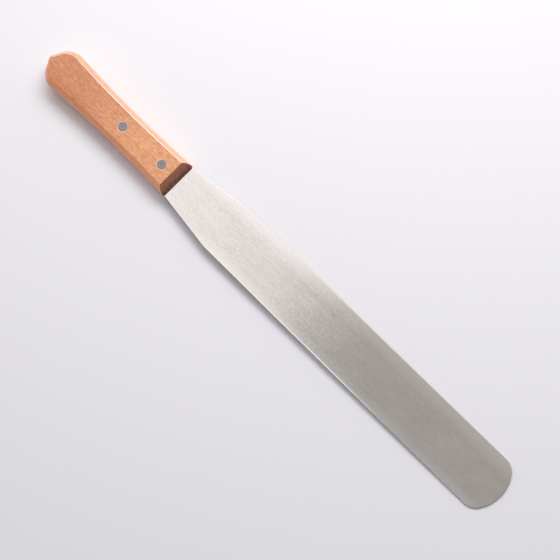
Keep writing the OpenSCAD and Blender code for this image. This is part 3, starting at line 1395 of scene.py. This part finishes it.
@dataclass
class RivetPair:
    """A cutler's rivet: a male half from above, its shank in the tube of a female half."""

    place: str
    x: float
    head_r: float
    thickness: float
    shank_end_z: float
    tube_end_z: float
    head_h: float = 1.5 * MM
    shank_r: float = 1.5 * MM
    tube_r: float = 2.25 * MM
    clearance: float = 0.02 * MM
    mark_r: float = 0.7 * MM
    mark_depth: float = 0.25 * MM
    mark_flat: float = 0.15 * MM
    edge_r: float = 0.14 * MM
    chamfer: float = 0.25 * MM

    @classmethod
    def from_frame(cls, place: str) -> RivetPair:
        """Reads a rivet's place and outer sizes from its two CAD nodes.

        Args:
            place: front or rear.

        Returns:
            The rivet.
        """
        low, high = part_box(f"rivet_{place}_male")
        _, tube_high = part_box(f"rivet_{place}_female")
        return cls(place, (low.x + high.x) / 2, (high.x - low.x) / 2, high.z, low.z, tube_high.z)

    def head_profile(self) -> list[Point]:
        """Radius and depth below the face, from the punch mark to the head's underside.

        Returns:
            The points.
        """
        quarter = math.pi / 2
        mark = [
            (self.mark_r * math.sin(a), self.mark_depth * math.cos(a))
            for a in stops(0, quarter, 8)
        ]
        flat = [self.mark_r + self.mark_flat, 0.6 * self.head_r, 0.85 * self.head_r]
        rim = [
            (self.head_r - self.edge_r * (1 - math.sin(a)), self.edge_r * (1 - math.cos(a)))
            for a in stops(0, quarter, 5)
        ]
        return [*mark, *((radius, 0.0) for radius in flat), *rim, (self.head_r, self.head_h)]

    def build(self, finish: Finish) -> list[Piece]:
        """Turns both halves.

        Args:
            finish: Their finish.

        Returns:
            The male and the female half.
        """
        top = self.thickness
        head = self.head_profile()
        shank = [
            (self.shank_r, top - self.head_h),
            (self.shank_r, self.shank_end_z + self.chamfer),
            (self.shank_r - self.chamfer, self.shank_end_z),
            (0.0, self.shank_end_z),
        ]
        inside = self.shank_r + self.clearance
        tube = [
            (self.tube_r, self.head_h),
            (self.tube_r, self.tube_end_z),
            (inside, self.tube_end_z),
            (inside, self.head_h),
            (0.0, self.head_h),
        ]
        profiles = {
            "male": [(r, top - depth) for r, depth in head] + shank,
            "female": [(r, depth) for r, depth in head] + tube,
        }
        halves = []
        for kind, profile in profiles.items():
            half = MeshShop.turned(f"rivet_{self.place}_{kind}_half", profile)
            half.location.x = self.x
            halves.append(deliver(half, finish, f"rivet_{self.place}_{kind}"))
        return halves


# ---- Studio ----


@dataclass(frozen=True)
class SoftLight:
    """A square softbox, aimed at the tool. Azimuth 0 is on the -Y side and 90 on the +X side."""

    name: str
    azimuth: float
    elevation: float
    distance: float
    width: float
    height: float
    radiance: float
    colour: Colour = (1.0, 0.985, 0.975)

    def build(self, target: Vector) -> Piece:
        """Hangs the softbox.

        Args:
            target: What it is aimed at.

        Returns:
            The light.
        """
        back = direction(self.azimuth, self.elevation)
        data = bpy.data.lights.new(self.name, "AREA")
        data.shape = "RECTANGLE"
        data.size, data.size_y = self.width, self.height
        data.energy = math.pi * self.width * self.height * self.radiance
        data.color = self.colour
        light = linked(self.name, data)
        light.location = target + back * self.distance
        light.rotation_euler = (-back).to_track_quat("-Z", "Y").to_euler()
        return light


def direction(azimuth: float, elevation: float) -> Vector:
    """The unit vector from the tool towards a place around it.

    Args:
        azimuth: Degrees round Z, 0 on the -Y side and 90 on the +X side.
        elevation: Degrees above the horizon.

    Returns:
        The vector.
    """
    a, e = math.radians(azimuth), math.radians(elevation)
    return Vector((math.sin(a) * math.cos(e), -math.cos(a) * math.cos(e), math.sin(e)))


@dataclass
class Camera:
    """A camera nearly overhead, rolled so that the tool runs across its view's diagonal."""

    lens: float = 93.2
    sensor: float = 36.0
    distance: float = 0.986
    azimuth: float = 76.63
    elevation: float = 78.48
    roll: float = -32.07

    def build(self, target: Vector) -> Piece:
        """Sets the camera up.

        Args:
            target: The point in the middle of its view.

        Returns:
            The camera, which is now the scene's.
        """
        back = direction(self.azimuth, self.elevation)
        level = direction(self.azimuth + 90, 0)
        right = Matrix.Rotation(math.radians(self.roll), 3, back) @ level
        up = back.cross(right)
        data = bpy.data.cameras.new("camera")
        data.lens, data.sensor_width = self.lens, self.sensor
        camera = linked("camera", data)
        turn = Matrix((right, up, back)).transposed()
        camera.matrix_world = Matrix.Translation(target + back * self.distance) @ turn.to_4x4()
        bpy.context.scene.camera = camera
        return camera


@dataclass
class Table:
    """The table. The tool is heavy in the blade, so it rests on its front edge and its tip."""

    rest_x: float
    tip: Vector
    tip_clearance: float = 0.4 * MM
    rest_clearance: float = 0.02 * MM
    half_size: float = 6.0
    cells: int = 12

    def build(self, finish: Finish) -> Piece:
        """Lays the table.

        Args:
            finish: The table's finish.

        Returns:
            The table, which isn't part of the object.
        """
        slope = (self.tip.z - self.tip_clearance) / (self.tip.x - self.rest_x)
        ticks = stops(-self.half_size, self.half_size, self.cells)
        low = self.rest_clearance
        points = [Vector((x, y, (x - self.rest_x) * slope - low)) for y in ticks for x in ticks]
        mesh = bpy.data.meshes.new("table")
        mesh.from_pydata(points, [], grid(self.cells, self.cells + 1))
        table = linked("table", mesh)
        finish.dress(table)
        return table


@dataclass
class Studio:
    """A pale room: a bright panel beside the main softbox, and a dimmer ceiling.

    The world's colours change with the way that is looked in. Heights are the Z of that way.
    """

    target: Vector
    bright_way: float = 225.0
    overhead_way: float = 265.0
    bright: Colour = (1.16, 1.15, 1.19)
    dim: Colour = (0.49, 0.49, 0.49)
    low: Colour = (0.06, 0.065, 0.08)
    horizon: Colour = (0.42, 0.42, 0.44)
    near_edge: Span = (0.136, 0.166)
    overhead_edge: Span = (0.152, 0.194)
    far_edge: Span = (0.92, 0.56)
    low_heights: Span = (0.94, 0.8)
    horizon_heights: Span = (0.42, 0.22)
    overhead_heights: Span = (0.86, 0.93)
    softboxes: tuple[SoftLight, ...] = (
        SoftLight("main_softbox", 203.0, 47.0, 0.92, 0.65, 0.37, 5.7),
        SoftLight("side_softbox", 244.0, 38.0, 0.95, 0.4, 0.34, 3.6),
    )

    def room(self) -> None:
        """Paints the world: a soft bright panel on one side of a dim ceiling."""
        world = bpy.data.worlds.new("studio")
        bpy.context.scene.world = world
        world.use_nodes = True
        graph = Graph(world.node_tree)
        x, y, z = graph.parts(graph.place("Generated"))
        ways = direction(self.bright_way, 0), direction(self.overhead_way, 0)
        towards, beyond = (x * way.x + y * way.y for way in ways)
        ceiling = graph.mix(z.step(*self.low_heights), self.dim, self.low)
        ceiling = graph.mix(z.step(*self.horizon_heights), ceiling, self.horizon)
        overhead = z.step(*self.overhead_heights)
        near = overhead * beyond.step(*self.overhead_edge)
        near = near + (1 - overhead) * towards.step(*self.near_edge)
        panel = near * towards.step(*self.far_edge)
        colour = graph.mix(panel, ceiling, self.bright)
        sky = graph.add("ShaderNodeBackground", {}, {"Color": colour, "Strength": 1.0})
        graph.add("ShaderNodeOutputWorld", {}, {"Surface": sky.outputs[0]})

    def build(self) -> None:
        """Lights the tool, and keeps its colours as they are on the display."""
        self.room()
        for light in self.softboxes:
            light.build(self.target)
            LOG.info("%s hung", light.name)
        Camera().build(self.target)
        bpy.context.scene.view_settings.view_transform = "Standard"


def main() -> None:
    """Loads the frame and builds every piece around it."""
    logging.basicConfig(level=logging.INFO, format="%(message)s")
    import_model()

    form = HandleForm.from_frame()
    bevel = Bevel(form)
    rivets = [RivetPair.from_frame(place) for place in ("front", "rear")]
    rivet_xs = [rivet.x for rivet in rivets]
    blade = SteelBlade.from_frame(form, rivet_xs)

    steel = BrushedSteel("brushed_steel", Slot.BLADE_STEEL, form.front_x, blade.width / 2)
    wood = VarnishedWood(
        "varnished_wood", Slot.HANDLE_WOOD, form.front_x, tuple(rivet_xs), rivets[0].head_r
    )
    lacquer = BrownLacquer("brushed_lacquer", Slot.BROWN_LACQUER, form.front_x)
    aluminium = SandedAluminium("sanded_aluminium", Slot.RIVET_METAL, rivets[0].head_r)

    blade.build(steel)
    WoodenHandle(form, bevel, blade, rivets[0]).build(wood)
    films = LacquerFilms(form, bevel)
    for face in Face:
        films.build(face, lacquer)
    for rivet in rivets:
        rivet.build(aluminium)

    tip = Vector((blade.tip_x, 0, form.half_t - blade.tip_t / 2))
    Table(form.front_x - bevel.run, tip).build(TableCard("table_card", None))
    Studio(Vector((form.front_x + AIM_AHEAD, AIM_ASIDE, form.half_t))).build()


if __name__ == "__main__":
    main()
